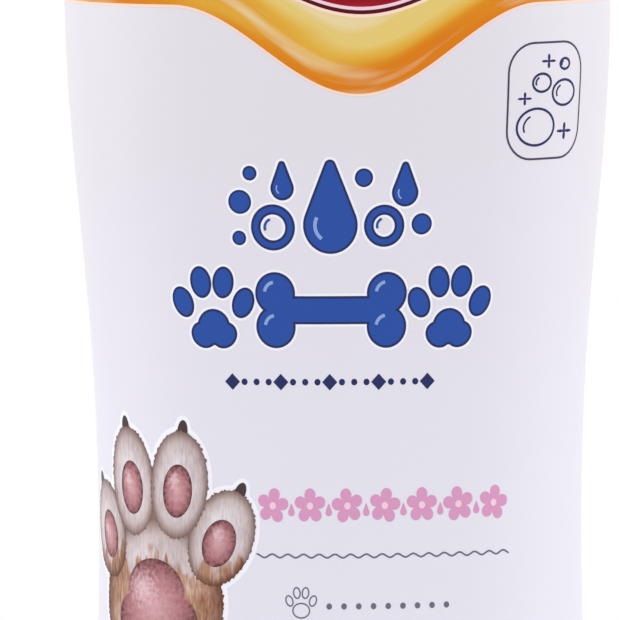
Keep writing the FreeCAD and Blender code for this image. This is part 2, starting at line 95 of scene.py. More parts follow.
class Film:
    """The film's outer face, measured on the frame's sleeve. Lengths are in millimetres."""

    def __init__(self, node):
        low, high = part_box(node)
        self.bottom, self.top = low.z / MM, high.z / MM
        reach = 2 * max(high.x, high.y)
        tree = BVHTree.FromObject(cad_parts[node], bpy.context.evaluated_depsgraph_get())
        levels = np.linspace(self.bottom + PROBE_MARGIN, self.top - PROBE_MARGIN, PROBES)
        wide = [tree.ray_cast(Vector((reach, 0, z * MM)), Vector((-1, 0, 0)))[0].x / MM for z in levels]
        deep = [-tree.ray_cast(Vector((0, -reach, z * MM)), Vector((0, 1, 0)))[0].y / MM for z in levels]
        self.half_width = np.polynomial.Chebyshev.fit(levels, wide, FIT_ORDER)
        self.half_depth = np.polynomial.Chebyshev.fit(levels, deep, FIT_ORDER)
        self.girth = 4 * self.arcs(levels[int(np.argmax(wide))])[4]

    def arcs(self, z):
        """At z: side radius, face radius, reach of the side's centre, half a face arc, quarter girth."""
        a = self.half_width(z) - FILM_INSET
        b = self.half_depth(z) - FILM_INSET
        side = (b - SIDE_SHARE * a) / (1 - SIDE_SHARE)
        reach = a - side
        face = b + reach * math.tan(SIDE_ANGLE)
        face_arc = face * (math.pi / 2 - SIDE_ANGLE)
        return side, face, reach, face_arc, face_arc + side * SIDE_ANGLE

    def section(self, x, z):
        """Place and outward direction in the level section at z, for label places x."""
        side, face, reach, face_arc, quarter = self.arcs(z)
        share = (x / self.girth + 0.5) % 1 - 0.5
        way = np.abs(share) * 4 * quarter
        way_in = np.where(way > quarter, 2 * quarter - way, way)
        on_face = way_in < face_arc
        angle = np.where(on_face, math.pi / 2 - way_in / face, SIDE_ANGLE - (way_in - face_arc) / side)
        right = np.where(on_face, face * np.cos(angle), reach + side * np.cos(angle))
        behind = reach * math.tan(SIDE_ANGLE)
        out = np.where(on_face, face * np.sin(angle) - behind, side * np.sin(angle))
        hand = np.where(share < 0, -1, 1)
        front = np.where(way > quarter, 1, -1)
        place = np.stack([hand * right, front * out], -1)
        away = np.stack([hand * np.cos(angle), front * np.sin(angle)], -1)
        return place, away

    def away_from(self, x, middle):
        """How far label places are from middle, the shorter way round the bottle."""
        return np.abs((x - middle + self.girth / 2) % self.girth - self.girth / 2)

    def relief(self, x, z):
        """How high the overlap and the folds along the cut edges stand at label places."""
        past = (self.away_from(x, SEAM - SEAM_WIDTH / 2) - SEAM_WIDTH / 2) / SEAM_EDGE
        overlap = SEAM_RISE * (1 - np.clip(past, 0, 1))
        turns = TURN * x / self.girth
        folds = sum(share * np.sin(count * turns + start) for count, start, share in FOLDS)
        nearness = np.exp(-np.minimum(z - self.bottom, self.top - z) / FOLD_REACH)
        return overlap + FOLD_RISE * nearness * (0.5 + 0.5 * folds)

    def place(self, points, lift):
        """Points of the bottle in metres, and the film's outward directions, for flat label points."""
        x, z = points[:, 0], points[:, 1]
        flat, away = self.section(x, z)
        higher, lower = self.section(x, z + SLOPE_STEP)[0], self.section(x, z - SLOPE_STEP)[0]
        flare = ((higher - lower) * away).sum(-1)
        climb = self.relief(x, z + SLOPE_STEP) - self.relief(x, z - SLOPE_STEP)
        step = self.relief(x + SLOPE_STEP, z) - self.relief(x - SLOPE_STEP, z)
        along = np.column_stack([-away[:, 1], away[:, 0]])
        level = away - along * step[:, None] / (2 * SLOPE_STEP)
        normals = np.column_stack([level, -(flare + climb) / (2 * SLOPE_STEP)])
        normals /= np.linalg.norm(normals, axis=1)[:, None]
        lifted = np.column_stack([flat + away * (lift + self.relief(x, z))[:, None], z])
        return lifted * MM, normals


film = Film("shrink_sleeve")

# ---------------------------------------------------------------- flat shapes

TIP_SHARE = 0.07  # radius of a drop's tip, as a share of the drop's width
MERGE = 1e-5  # points of an outline nearer than this are one
TRIANGLES = 0  # the kind of result asked of delaunay_2d_cdt


def evened(points, step=GRAIN):
    """The same closed line with no two neighbours further apart than step."""
    parts = []
    for start, end in zip(points, np.roll(points, -1, 0)):
        count = max(1, math.ceil(np.hypot(*(end - start)) / step))
        parts.append(start + (end - start) * np.arange(count)[:, None] / count)
    return np.concatenate(parts)


def turned(points, middle, degrees):
    """Points turned about the origin and moved to middle. Positive degrees lean the top to the right."""
    angle = math.radians(-degrees)
    cos, sin = math.cos(angle), math.sin(angle)
    return points @ np.array([[cos, sin], [-sin, cos]]) + middle


def polar(middle, angles, radii):
    """Points at those angles and distances from the middle."""
    return np.column_stack([middle[0] + radii * np.cos(angles), middle[1] + radii * np.sin(angles)])


def arc(middle, radius, start, end, count=9):
    """A round arc between two angles in degrees."""
    return polar(middle, np.radians(np.linspace(start, end, count)), radius)


def ellipse(middle, width, height, lean=0, count=48):
    angles = np.linspace(0, TURN, count, endpoint=False)
    outline = np.column_stack([width / 2 * np.cos(angles), height / 2 * np.sin(angles)])
    return turned(outline, middle, lean)


def drop(middle, width, height, grow=0):
    """A water drop, its tip up: a round body and a small round tip, joined by tangents."""
    round_tip = TIP_SHARE * width
    body, tip = width / 2 + grow, round_tip + grow
    low, high = width / 2 - height / 2, height / 2 - round_tip
    slope = math.degrees(math.asin((body - tip) / (high - low)))
    lower = arc((0, low), body, 180 - slope, 360 + slope, count=40)
    upper = arc((0, high), tip, slope, 180 - slope, count=12)
    return evened(np.concatenate([lower, upper])) + middle


def star(middle, radius, points, waist, sharpness, turn=0, count=90):
    """A star or flower. Its waist is a share of its radius, and its points narrow with sharpness."""
    angles = np.linspace(0, TURN, count, endpoint=False)
    reach = np.abs(np.cos(points * (angles - math.radians(turn)) / 2)) ** sharpness
    return polar(middle, angles, radius * (waist + (1 - waist) * reach))


def rounded_box(middle, width, height, radius):
    x, z = width / 2 - radius, height / 2 - radius
    corners = [((x, z), 0), ((-x, z), 90), ((-x, -z), 180), ((x, -z), 270)]
    turns = [arc(corner, radius, start, start + 90) for corner, start in corners]
    return evened(np.concatenate(turns) + middle)


def bone(middle, length, lobe, spread, shaft, grow):
    """A bone lying level: its lobes lie spread from its middle line, and shaft is half its height."""
    lobe, shaft = lobe + grow, shaft + grow
    reach = length / 2 - lobe + grow
    start = 180 + math.degrees(math.asin((spread - shaft) / lobe))
    notch = -math.degrees(math.asin(spread / lobe))
    upper = arc((reach, spread), lobe, start, notch, count=30)
    right = np.concatenate([upper, upper[-2::-1] * (1, -1)])
    return evened((np.concatenate([right, -right]) + middle)[::-1])


def inside(points, outline):
    """Which points lie within an outline."""
    x, z = points[:, 0], points[:, 1]
    found = np.zeros(len(points), bool)
    for (x1, z1), (x2, z2) in zip(outline, np.roll(outline, -1, 0)):
        if z1 != z2:
            crosses = (z1 > z) != (z2 > z)
            found ^= crosses & (x < (x2 - x1) * (z - z1) / (z2 - z1) + x1)
    return found


def pane(*outlines, holes=()):
    """The union of some outlines, less the holes, as a mesh fine enough to bend: (points, faces)."""
    rings = [*outlines, *holes]
    corners = np.concatenate(rings)
    low, high = corners.min(0), corners.max(0)
    across = np.arange(low[0] + GRAIN / 2, high[0], GRAIN)
    up = np.arange(low[1] + GRAIN / 2, high[1], GRAIN)
    grid = np.stack(np.meshgrid(across, up), -1).reshape(-1, 2)
    edges, first = [], 0
    for ring in rings:
        edges += [(first + i, first + (i + 1) % len(ring)) for i in range(len(ring))]
        first += len(ring)
    points = [Vector(p) for p in np.concatenate([corners, grid])]
    made = delaunay_2d_cdt(points, edges, [], TRIANGLES, MERGE, False)
    points, faces = np.array(made[0]), np.array(made[2])
    centres = points[faces].mean(1)
    keep = np.any([inside(centres, ring) for ring in outlines], 0)
    for ring in holes:
        keep &= ~inside(centres, ring)
    used, faces = np.unique(faces[keep], return_inverse=True)
    return points[used], faces.reshape(-1, 3).tolist()


def strip(near, far, rows=1, closed=False):
    """The quads between two lines of as many points: (points, faces)."""
    shares = np.linspace(0, 1, rows + 1)[:, None, None]
    points = (near * (1 - shares) + far * shares).reshape(-1, 2)
    count = len(near)
    faces = []
    for row in range(rows):
        for i in range(count if closed else count - 1):
            here, ahead = row * count + i, row * count + (i + 1) % count
            faces.append([here, ahead, ahead + count, here + count])
    return points, faces


def stroke(path, width, closed=False):
    """A drawn line of that width along a path."""
    if closed:
        along = np.roll(path, -1, 0) - np.roll(path, 1, 0)
    else:
        along = np.gradient(path, axis=0)
    along /= np.hypot(along[:, 0], along[:, 1])[:, None]
    beside = np.column_stack([along[:, 1], -along[:, 0]]) * width / 2
    return strip(path + beside, path - beside, closed=closed)


# ---------------------------------------------------------------- print that stands on the film


def mesh_object(name, vertices, faces, finishes, materials, normals, maps):
    """A mesh with a material for each face, and normals and places in the UV maps for each vertex."""
    mesh = bpy.data.meshes.new(name)
    mesh.from_pydata(vertices.tolist(), [], faces)
    for material in materials:
        mesh.materials.append(material)
    mesh.polygons.foreach_set("material_index", finishes)
    mesh.shade_smooth()
    corners = np.zeros(len(mesh.loops), np.int32)
    mesh.loops.foreach_get("vertex_index", corners)
    for title, places in maps.items():
        layer = mesh.uv_layers.new(name=title)
        layer.uv.foreach_set("vector", places[corners].astype(np.float32).ravel())
    mesh.normals_split_custom_set_from_vertices(normals.tolist())
    made = bpy.data.objects.new(name, mesh)
    bpy.context.scene.collection.objects.link(made)
    return made


def raised(shape, low, high):
    """A flat shape as a thin closed solid on the film: its vertices, faces, normals and flat places."""
    points, faces = shape
    corners = points[[face[:3] for face in faces]]
    first, second = corners[:, 1] - corners[:, 0], corners[:, 2] - corners[:, 0]
    for leg in (first, second):
        leg[:, 0] = (leg[:, 0] + film.girth / 2) % film.girth - film.girth / 2
    clockwise = first[:, 0] * second[:, 1] - first[:, 1] * second[:, 0] < 0
    faces = [face[::-1] if back else face for face, back in zip(faces, clockwise)]
    top, normals = film.place(points, np.full(len(points), high))
    root, _ = film.place(points, np.full(len(points), low))
    count = len(points)
    sides = {(face[i - 1], face[i]) for face in faces for i in range(len(face))}
    walls = [[i + count, j + count, j, i] for i, j in sorted(sides) if (j, i) not in sides]
    backs = [[i + count for i in face[::-1]] for face in faces]
    vertices = np.concatenate([top, root])
    return vertices, faces + walls + backs, np.tile(normals, (2, 1)), np.tile(points, (2, 1))


LABEL_MAP = "label"  # a print's UV map of flat label places
FLOW_MAP = "flow"  # a print's own UV map, for paint that follows its shape


def print_piece(name, parts):
    """One piece of print. Each part is a flat shape, its rank among the layers and its paint.

    A part may end with a flow, which gives the places in FLOW_MAP for flat label places.
    """
    materials = list(dict.fromkeys(part[2] for part in parts))
    vertices, faces, finishes, normals, flat, flows = [], [], [], [], [], []
    first = 0
    for shape, rank, paint, *flow in parts:
        places, made, directions, spots = raised(shape, -PRINT_ROOT, rank * PRINT_LAYER)
        vertices.append(places)
        normals.append(directions)
        flat.append(spots)
        flows.append(flow[0](spots) if flow else spots)
        faces += [[i + first for i in face] for face in made]
        finishes += [materials.index(paint)] * len(made)
        first += len(places)
    vertices, normals = np.concatenate(vertices), np.concatenate(normals)
    maps = {LABEL_MAP: np.concatenate(flat), FLOW_MAP: np.concatenate(flows)}
    piece = mesh_object(name, vertices, faces, finishes, materials, normals, maps)
    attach(piece, "container")
    return piece


# ---------------------------------------------------------------- materials

FILM_SHINE = 0.15  # specular level of the satin film
FILM_GLOSS = (0.29, 0.37, 0.007)  # its lowest and highest roughness, and the size of its patches
RIPPLE_SIZE, RIPPLE_DEPTH = 0.0011, 0.0000025  # of the film's fine ripple
WAVE_REACH = 30  # a wave's colours change over this height above its edge, in millimetres
SOCK_LEVEL = 61  # above this height the paw's fur is white


def shade(red, green, blue):
    """A colour as it looks on a screen, from 0 to 255, as the shader's linear one."""
    parts = [c / 255 for c in (red, green, blue)]
    return (*[p / 12.92 if p <= 0.04045 else ((p + 0.055) / 1.055) ** 2.4 for p in parts], 1)


class Nodes:
    """A node tree, and short ways to add to it."""

    def __init__(self, tree):
        self.tree = tree

    def node(self, kind, inputs, **settings):
        made = self.tree.nodes.new("ShaderNode" + kind)
        for name, value in settings.items():
            setattr(made, name, value)
        for socket, value in inputs.items():
            self.put(made.inputs[socket], value)
        return made

    def put(self, socket, value):
        if isinstance(value, bpy.types.NodeSocket):
            self.tree.links.new(value, socket)
        else:
            socket.default_value = value

    def math(self, operation, first, second=0.0):
        return self.node("Math", {0: first, 1: second}, operation=operation).outputs[0]

    def mix(self, share, first, second, blend="MIX"):
        """Two colours blended by a share. The Mix node keeps its colours in sockets 6 and 7, and out 2."""
        inputs = {0: share, 6: first, 7: second}
        return self.node("Mix", inputs, data_type="RGBA", blend_type=blend).outputs[2]

    def part(self, vector, axis):
        return self.node("SeparateXYZ", {"Vector": vector}).outputs[axis]

    def length(self, vector):
        return self.node("VectorMath", {0: vector}, operation="LENGTH").outputs["Value"]

    def spread(self, value, low, high, start=0.3, end=0.7):
        """A value from start to end taken to one from low to high."""
        inputs = {"Value": value, "From Min": start, "From Max": end, "To Min": low, "To Max": high}
        return self.node("MapRange", inputs).outputs[0]

    def seen(self):
        """1 for rays from the camera, or sent on by mirror-like or clear surfaces, else 0."""
        path = self.node("LightPath", {}).outputs
        mirrored = self.math("MAXIMUM", path["Is Glossy Ray"], path["Is Transmission Ray"])
        return self.math("MAXIMUM", path["Is Camera Ray"], mirrored)


class Paint(Nodes):
    """A material and its node tree."""

    def __init__(self, name, **values):
        self.material = bpy.data.materials.new(name)
        self.material.use_nodes = True
        super().__init__(self.material.node_tree)
        self.shader = self.tree.nodes["Principled BSDF"]
        for socket, value in values.items():
            self.shader.inputs[socket.replace("_", " ")].default_value = value

    def place(self):
        """Where a point lies on the bottle, in metres."""
        return self.node("TexCoord", {}).outputs["Object"]

    def map(self, name):
        """Where a point lies in one of a print's UV maps."""
        return self.node("UVMap", {}, uv_map=name).outputs[0]

    def noise(self, size, detail=3, where=None, stretch=(1, 1, 1)):
        """Noise with features of that size in metres, or in the units of where."""
        where = where or self.place()
        placed = self.node("Mapping", {"Vector": where, "Scale": [s / size for s in stretch]})
        made = self.node("TexNoise", {"Vector": placed.outputs[0], "Scale": 1.0, "Detail": detail})
        return made.outputs["Fac"]

    def ramp(self, value, stops):
        """A colour from a value: stops are (value, colour)."""
        made = self.node("ValToRGB", {"Fac": value})
        band = made.color_ramp.elements
        while len(band) < len(stops):
            band.new(0.5)
        for element, (place, colour) in zip(band, stops):
            element.position, element.color = place, shade(*colour)
        return made.outputs[0]

    def relief(self, height, depth):
        """Bumps as deep as depth, in metres, where height runs from 0 to 1."""
        made = self.node("Bump", {"Height": height, "Distance": depth, "Strength": 1.0})
        self.put(self.shader.inputs["Normal"], made.outputs[0])

    def gloss(self, low, high, size):
        """Roughness that wanders between two values over patches of that size."""
        self.put(self.shader.inputs["Roughness"], self.spread(self.noise(size), low, high))

    def colour(self, socket):
        self.put(self.shader.inputs["Base Color"], socket)


def print_paint(name, **values):
    """Ink under the film's satin face, with the film's fine ripple and uneven shine."""
    paint = Paint(name, IOR=1.48, Specular_IOR_Level=FILM_SHINE, **values)
    paint.gloss(*FILM_GLOSS)
    paint.relief(paint.noise(RIPPLE_SIZE), RIPPLE_DEPTH)
    return paint


def ink(name, colour):
    """Flat ink of one colour."""
    return print_paint(name, Base_Color=shade(*colour)).material


def film_material():
    """The label's lavender-white ground, faintly mottled, with a painted reflection of the orange print:
    warmer and a little darker towards the top, cooler towards the base.
    """
    paint = print_paint("film_white")
    height = paint.part(paint.place(), "Z")
    share = paint.spread(height, low=0, high=1, start=film.bottom * MM, end=film.top * MM)
    mottle = paint.spread(paint.noise(size=0.03), low=-0.06, high=0.06)
    # painted reflection: the ground turns warmer and a little darker with height, towards the orange print
    ground = [(0, (230, 229, 239)), (0.4, (228, 226, 236)), (0.64, (226, 222, 230))]
    paint.colour(paint.ramp(paint.math("ADD", share, mottle), ground))
    return paint.material


def wave_material(name, stops, pale):
    """Ink that changes colour with the height above its wave's edge, with pale streaks along it."""
    paint = print_paint(name)
    flow = paint.map(FLOW_MAP)
    wander = paint.noise(size=11, detail=2, where=flow, stretch=(0.3, 1, 1))
    height = paint.math("ADD", paint.part(flow, "Y"), paint.spread(wander, low=-4, high=4))
    share = paint.spread(height, low=0, high=1, start=0, end=WAVE_REACH)
    streaks = paint.noise(size=4.5, where=flow, stretch=(0.14, 1, 1))
    streaked = paint.spread(streaks, low=0, high=0.8, start=0.5, end=0.68)
    paint.colour(paint.mix(streaked, paint.ramp(share, stops), shade(*pale)))
    return paint.material


def fur_material():
    """Printed fur: tan strands, white towards the toes, darker where the limb turns away."""
    paint = print_paint("ink_fur")
    places, flow = paint.map(LABEL_MAP), paint.map(FLOW_MAP)
    strands = paint.noise(size=0.42, detail=4, where=places, stretch=(1, 0.2, 1))
    patches = paint.spread(paint.noise(size=8, where=places), low=0.2, high=0.8)
    level = paint.math("ADD", paint.spread(strands, low=-0.3, high=0.3), patches)
    browns = [(0.05, (132, 90, 68)), (0.35, (172, 128, 102))]
    browns += [(0.65, (198, 160, 138)), (1, (222, 200, 190))]
    whites = [(0, (196, 184, 186)), (0.5, (221, 213, 218)), (1, (238, 234, 240))]
    ragged = paint.noise(size=2.2, where=places, stretch=(1, 0.3, 1))
    height = paint.math("ADD", paint.part(places, "Y"), paint.spread(ragged, low=-4, high=4))
    sock = paint.spread(height, low=0, high=1, start=SOCK_LEVEL - 1, end=SOCK_LEVEL + 1)
    fur = paint.mix(sock, paint.ramp(level, browns), paint.ramp(level, whites))
    dark = [(0.45, (255, 255, 255)), (0.8, (226, 214, 208)), (1, (148, 122, 112))]
    rim = paint.ramp(paint.length(flow), dark)
    paint.colour(paint.mix(1.0, fur, rim, "MULTIPLY"))
    return paint.material


def pad_material():
    """Printed paw pads: pebbled pink-brown, with a soft gleam and a dark rim."""
    paint = print_paint("ink_pad")
    places, flow = paint.map(LABEL_MAP), paint.map(FLOW_MAP)
    pebbles = paint.spread(paint.noise(size=0.7, where=places), low=-0.14, high=0.14)
    body = [(0.1, (206, 158, 164)), (0.6, (178, 122, 128)), (0.85, (146, 94, 98)), (1, (96, 58, 62))]
    skin = paint.ramp(paint.math("ADD", paint.length(flow), pebbles), body)
    shine_place = (-0.28, 0.36, 0)
    away = paint.node("VectorMath", {0: flow, 1: shine_place}, operation="DISTANCE").outputs["Value"]
    gleam = paint.spread(paint.math("ADD", away, pebbles), low=0.55, high=0, start=0.05, end=0.42)
    paint.colour(paint.mix(gleam, skin, shade(240, 214, 218)))
    return paint.material


def bottle_material():
    """Blow-moulded polyethylene: milky, softly mottled, with the mould's parting line up both sides."""
    paint = Paint("bottle_polyethylene", IOR=1.53)
    mottle = paint.noise(size=0.012, detail=4)
    paint.colour(paint.ramp(mottle, [(0.3, (229, 228, 236)), (0.7, (236, 235, 241))]))
    paint.gloss(low=0.4, high=0.5, size=0.005)
    off_line = paint.math("ABSOLUTE", paint.part(paint.place(), "Y"))
    parting = paint.spread(off_line, low=4, high=0, start=0.0001, end=0.0003)
    paint.relief(paint.math("ADD", paint.noise(size=0.0016, detail=4), parting), depth=0.00001)
    return paint.material


def closure_material(name, low, high):
    """Moulded polypropylene: clean white, faint flow marks, a finer shine than the bottle's."""
    paint = Paint(name, IOR=1.49, Specular_IOR_Level=0.3)
    marks = paint.noise(size=0.009, detail=2, stretch=(1, 1, 0.3))
    paint.colour(paint.ramp(marks, [(0.3, low), (0.7, high)]))
    paint.gloss(low=0.32, high=0.38, size=0.006)
    paint.relief(paint.noise(size=0.0013, detail=2), depth=0.0000012)
    return paint.material


def foam_material():
    """Pressed polyethylene foam: a skin of small shallow cells, with painted shade darkening their
    hollows.
    """
    paint = Paint("liner_foam", Roughness=0.75)
    per_metre = 1800.0
    cells = paint.node("TexVoronoi", {"Vector": paint.place(), "Scale": per_metre}).outputs["Distance"]
    # painted shade: the cell value that sinks each hollow also darkens it
    paint.colour(paint.ramp(cells, [(0, (226, 224, 218)), (0.6, (240, 238, 233))]))
    paint.relief(cells, depth=0.00006)
    return paint.material


def liquid_material():
    """Pearly shampoo: pink-white swirls under a wet surface."""
    paint = Paint("shampoo_pearl", Roughness=0.12, Subsurface_Weight=0.3, Subsurface_Scale=0.004)
    swirl = paint.noise(size=0.018, detail=5, stretch=(1, 1, 0.5))
    paint.colour(paint.ramp(swirl, [(0.3, (232, 208, 220)), (0.7, (245, 232, 238))]))
    paint.relief(paint.noise(size=0.01), depth=0.0001)
    return paint.material


# ---------------------------------------------------------------- the label

MIDDLE = -1.4  # the print's middle line, a little off the bottle's own
BACK = film.girth / 2
EDGE_MARGIN = 0.4  # the film's cut edges wander this far inside the frame's sleeve
BLEED = 0.04  # the print stops this far short of the cut edges
SAMPLES = 200  # columns of the film and of the bands that run right round

halo = ink("ink_white", (243, 243, 250))
navy = ink("ink_navy", (40, 47, 96))
slate = ink("ink_slate", (110, 108, 122))
charcoal = ink("ink_charcoal", (70, 68, 90))
blue = ink("ink_blue", (42, 79, 162))
sky = ink("ink_sky", (140, 166, 216))
pink = ink("ink_pink", (216, 153, 192))
rose = ink("ink_rose", (242, 206, 222))
peach = ink("ink_peach", (252, 218, 200))
maroon = ink("ink_maroon", (80, 3, 12))
claw = ink("ink_claw", (74, 58, 60))
STREAK = (234, 214, 170)
AMBERS = [(0, (218, 124, 16)), (0.07, (220, 140, 26)), (0.16, (225, 176, 64)), (0.27, (228, 200, 116))]
GOLDS = [(0, (228, 202, 104)), (0.4, (227, 172, 50)), (1, (220, 120, 18))]
CRIMSONS = [(0, (146, 4, 26)), (0.3, (144, 5, 27)), (0.8, (114, 4, 24))]
ROSES = [(0, (236, 186, 212)), (0.1, (242, 204, 222)), (0.2, (246, 216, 228))]
PINKS = [(0, (200, 132, 184)), (0.1, (212, 146, 190)), (0.2, (220, 160, 200))]
amber = wave_material("ink_amber", AMBERS, STREAK)
gold = wave_material("ink_gold", GOLDS, STREAK)
crimson = wave_material("ink_crimson", CRIMSONS, (182, 48, 60))
hem_rose = wave_material("ink_hem_rose", ROSES, (250, 228, 236))
hem_pink = wave_material("ink_hem_pink", PINKS, (228, 178, 210))

SEAM_START = SEAM + film.girth - SEAM_WIDTH
SEAM_COLUMNS = [SEAM + SEAM_EDGE, SEAM_START - SEAM_EDGE, SEAM_START]
ROUND = np.unique(np.concatenate([np.linspace(SEAM, SEAM + film.girth, SAMPLES), SEAM_COLUMNS]))


def swell(x, middle, reach):
    """1 at the middle and smoothly 0 from reach away, round the bottle."""
    return 0.5 + 0.5 * np.cos(math.pi * np.clip(film.away_from(x, middle) / reach, 0, 1))


def edge(level, swells=(), ripples=()):
    """A wavy line round the bottle, as its height at label places.

    It dips at each swell (depth, middle, reach) and waves with each ripple (height, count round, start).
    """

    def height(x):
        z = level
        for depth, middle, reach in swells:
            z = z - depth * swell(x, middle, reach)
        for rise, count, start in ripples:
            z = z + rise * np.sin(count * TURN * x / film.girth + start)
        return z

    return height


amber_edge = edge(145.3, swells=[(13.2, 3, 28), (6.5, BACK - 12, 42)])
crimson_edge = edge(154.5, swells=[(10.6, 4.5, 26), (5, BACK - 8, 40)], ripples=[(1.2, 5, 0.6)])
crimson_top = edge(168.5, ripples=[(2.6, 3, 1.2), (1.1, 7, 0.3)])
hem_far = edge(film.bottom + 13.2, ripples=[(2.8, 4, 0.9), (1, 9, 0)])
hem_near = edge(film.bottom + 7.2, ripples=[(2.2, 5, 2.4)])
cut_low = edge(film.bottom + EDGE_MARGIN, ripples=[(0.1, 6, 0), (0.06, 17, 0.8)])
cut_high = edge(film.top - EDGE_MARGIN, ripples=[(0.1, 5, 1), (0.06, 13, 0)])


def band(low, high, rows=1):
    """A band right round the bottle between two lines of heights over ROUND."""
    low, high = (np.broadcast_to(level, ROUND.shape) for level in (low, high))
    return strip(np.column_stack([ROUND, low]), np.column_stack([ROUND, high]), rows)


def above(line):
    """Flow of a wave: the place round the bottle, and the height above a line."""
    return lambda flat: np.column_stack([flat[:, 0], flat[:, 1] - line(flat[:, 0])])


BORDER = ((0, 0.5, rose), (0.5, 1.1, maroon), (1.1, 1.6, peach))  # lines this far outside the crimson wave
PEACH_LINE = 0.4  # width of the line under the amber wave
HEM_LINE = 0.5  # width of the lines over the waves round the foot


def make_waves():
    """Layered waves over the shoulder, in place of the label's sunny heading."""
    foot, red, top = amber_edge(ROUND), crimson_edge(ROUND), crimson_top(ROUND)
    crown = cut_high(ROUND) - BLEED
    print_piece("wave_amber", [(band(foot, top, rows=20), 1, amber, above(amber_edge))])
    print_piece("wave_gold", [(band(top, crown, rows=14), 1, gold, above(crimson_top))])
    print_piece("wave_crimson", [(band(red, top, rows=12), 2, crimson, above(crimson_edge))])
    lines = [(band(foot - PEACH_LINE, foot), 2, peach)]
    for near, far, paint in BORDER:
        lines += [(band(red - far, red - near), 2, paint), (band(top + near, top + far), 2, paint)]
    print_piece("wave_lines", lines)


def widened(points, middle, share):
    """Points drawn wider about middle, so that they look round where the film turns away."""
    return (points - middle) * (share, 1) + middle


def make_bubble(middle, radius, pen, share=1):
    """A bubble's outline, and a short gleam inside it."""
    outline, gleam = ellipse(middle, 2 * radius, 2 * radius), arc(middle, radius * 0.66, 120, 205)
    return [
        (stroke(widened(outline, middle, share), pen, closed=True), 1, navy),
        (stroke(widened(gleam, middle, share), pen * 0.8), 1, navy),
    ]


def make_badge():
    """A rounded frame of bubbles at the right of the heading."""
    middle, width, height, corner, pen = (33.3, 130.5), 14.6, 17.4, 4.4, 0.32
    share = 1.28  # bubbles and sparkles are drawn this much wider
    # Each one's middle and radius.
    bubbles = (((31.2, 126.6), 2.75), ((36.6, 131.6), 1.9), ((32.0, 133.2), 1.35), ((36.6, 135.9), 0.8))
    sparkles = (((37.1, 125.8), 1.3), ((28.9, 130.9), 1.0), ((33.2, 136.4), 1.1))
    parts = [(stroke(rounded_box(middle, width, height, corner), pen, closed=True), 1, charcoal)]
    for place, radius in bubbles:
        parts += make_bubble(place, radius, pen=0.38, share=share)
    for place, radius in sparkles:
        sparkle = star(place, radius, points=4, waist=0.2, sharpness=3.5, count=40)
        parts.append((pane(widened(sparkle, place, share)), 1, navy))
    print_piece("badge", parts)


GLOW = 0.38  # width of the white halo round an outlined shape


def outlined(outlines, paint, pen=0.36, holes=None):
    """A filled shape with a navy outline and a white halo round that.

    outlines(grow) and holes(grow) give its outlines and its holes, drawn larger by grow.
    """
    parts = []
    for grow, rank, fill in ((pen + GLOW, 1, halo), (pen, 2, navy), (0, 3, paint)):
        gaps = holes(-grow) if holes else ()
        parts.append((pane(*outlines(grow), holes=gaps), rank, fill))
    return parts


def disc(middle, radius):
    """Outlines of a round spot, for outlined."""
    return lambda grow: [ellipse(middle, 2 * (radius + grow), 2 * (radius + grow))]


PRINT_TOES = [((-0.38, 0.08), -24), ((-0.14, 0.31), -8), ((0.14, 0.31), 8), ((0.38, 0.08), 24)]
PRINT_TOE, PRINT_BALL, PRINT_HEEL = (0.21, 0.31), (0.36, 0.36), (0.28, 0.24)  # widths and heights
PRINT_PAD = [((0, -0.2), PRINT_BALL, 0)]
PRINT_PAD += [((hand * 0.13, -0.29), PRINT_HEEL, -hand * 30) for hand in (-1, 1)]


def ovals(middle, size, shapes):
    """Outlines of ovals, for outlined. Their places, sizes and leans are for a print of size 1."""

    def outlines(grow):
        return [ellipse(np.multiply(place, size) + middle, *(np.multiply(spans, size) + 2 * grow), lean)
                for place, spans, lean in shapes]

    return outlines


def paw_print(middle, size):
    """A paw print's shapes, each for outlined: its toes, then its pad."""
    toes = [ovals(middle, size, [(place, PRINT_TOE, lean)]) for place, lean in PRINT_TOES]
    return [*toes, ovals(middle, size, PRINT_PAD)]


def make_splash():
    """A bone between two paw prints, with drops and bubbles over it."""
    level, length, lobe, spread, shaft = 99.8, 23.6, 2.85, 2.5, 1.75  # of the bone
    paw_reach, paw_size = 19.2, 13.2
    # Places from the middle line. Drops: x, z, width, height. Rings and spots: x, z, radius.
    drops = ((0, 115.3, 7.8, 13.4), (-7.4, 119.2, 2.9, 5.2), (11.6, 118.6, 3.4, 6))
    rings = ((-9, 112.2, 3.1), (8.4, 112.4, 2.8))
    spots = ((-14.1, 116, 1.5), (-12.4, 120.3, 0.8), (-14.4, 110.6, 0.8))
    spots += ((5.2, 119.6, 1.1), (14.3, 112.6, 1.3))
    parts = outlined(lambda grow: [bone((MIDDLE, level), length, lobe, spread, shaft, grow)], blue)
    for hand in (-1, 1):
        for up in (-1, 1):
            end = (MIDDLE + hand * (length / 2 - lobe), level + up * spread)
            parts.append((stroke(arc(end, lobe * 0.6, 100, 170), 0.5), 4, sky))
        for shape in paw_print((MIDDLE + hand * paw_reach, level), paw_size):
            parts += outlined(shape, blue)
    for x, z, width, height in drops:
        spot = (MIDDLE + x, z)
        parts += outlined(lambda grow, spot=spot: [drop(spot, width, height, grow)], blue)
        gleam = arc((spot[0], z + width / 2 - height / 2), width * 0.31, 150, 235)
        parts.append((stroke(gleam, 0.07 * width), 4, sky))
    for x, z, radius in rings:
        spot, rim = (MIDDLE + x, z), radius - 0.8
        parts += outlined(disc(spot, radius), blue, holes=disc(spot, rim))
        parts.append((stroke(arc(spot, rim * 0.56, 110, 200), 0.4), 2, blue))
    for x, z, radius in spots:
        parts += outlined(disc((MIDDLE + x, z), radius), blue, pen=0.3)
    print_piece("splash", parts)


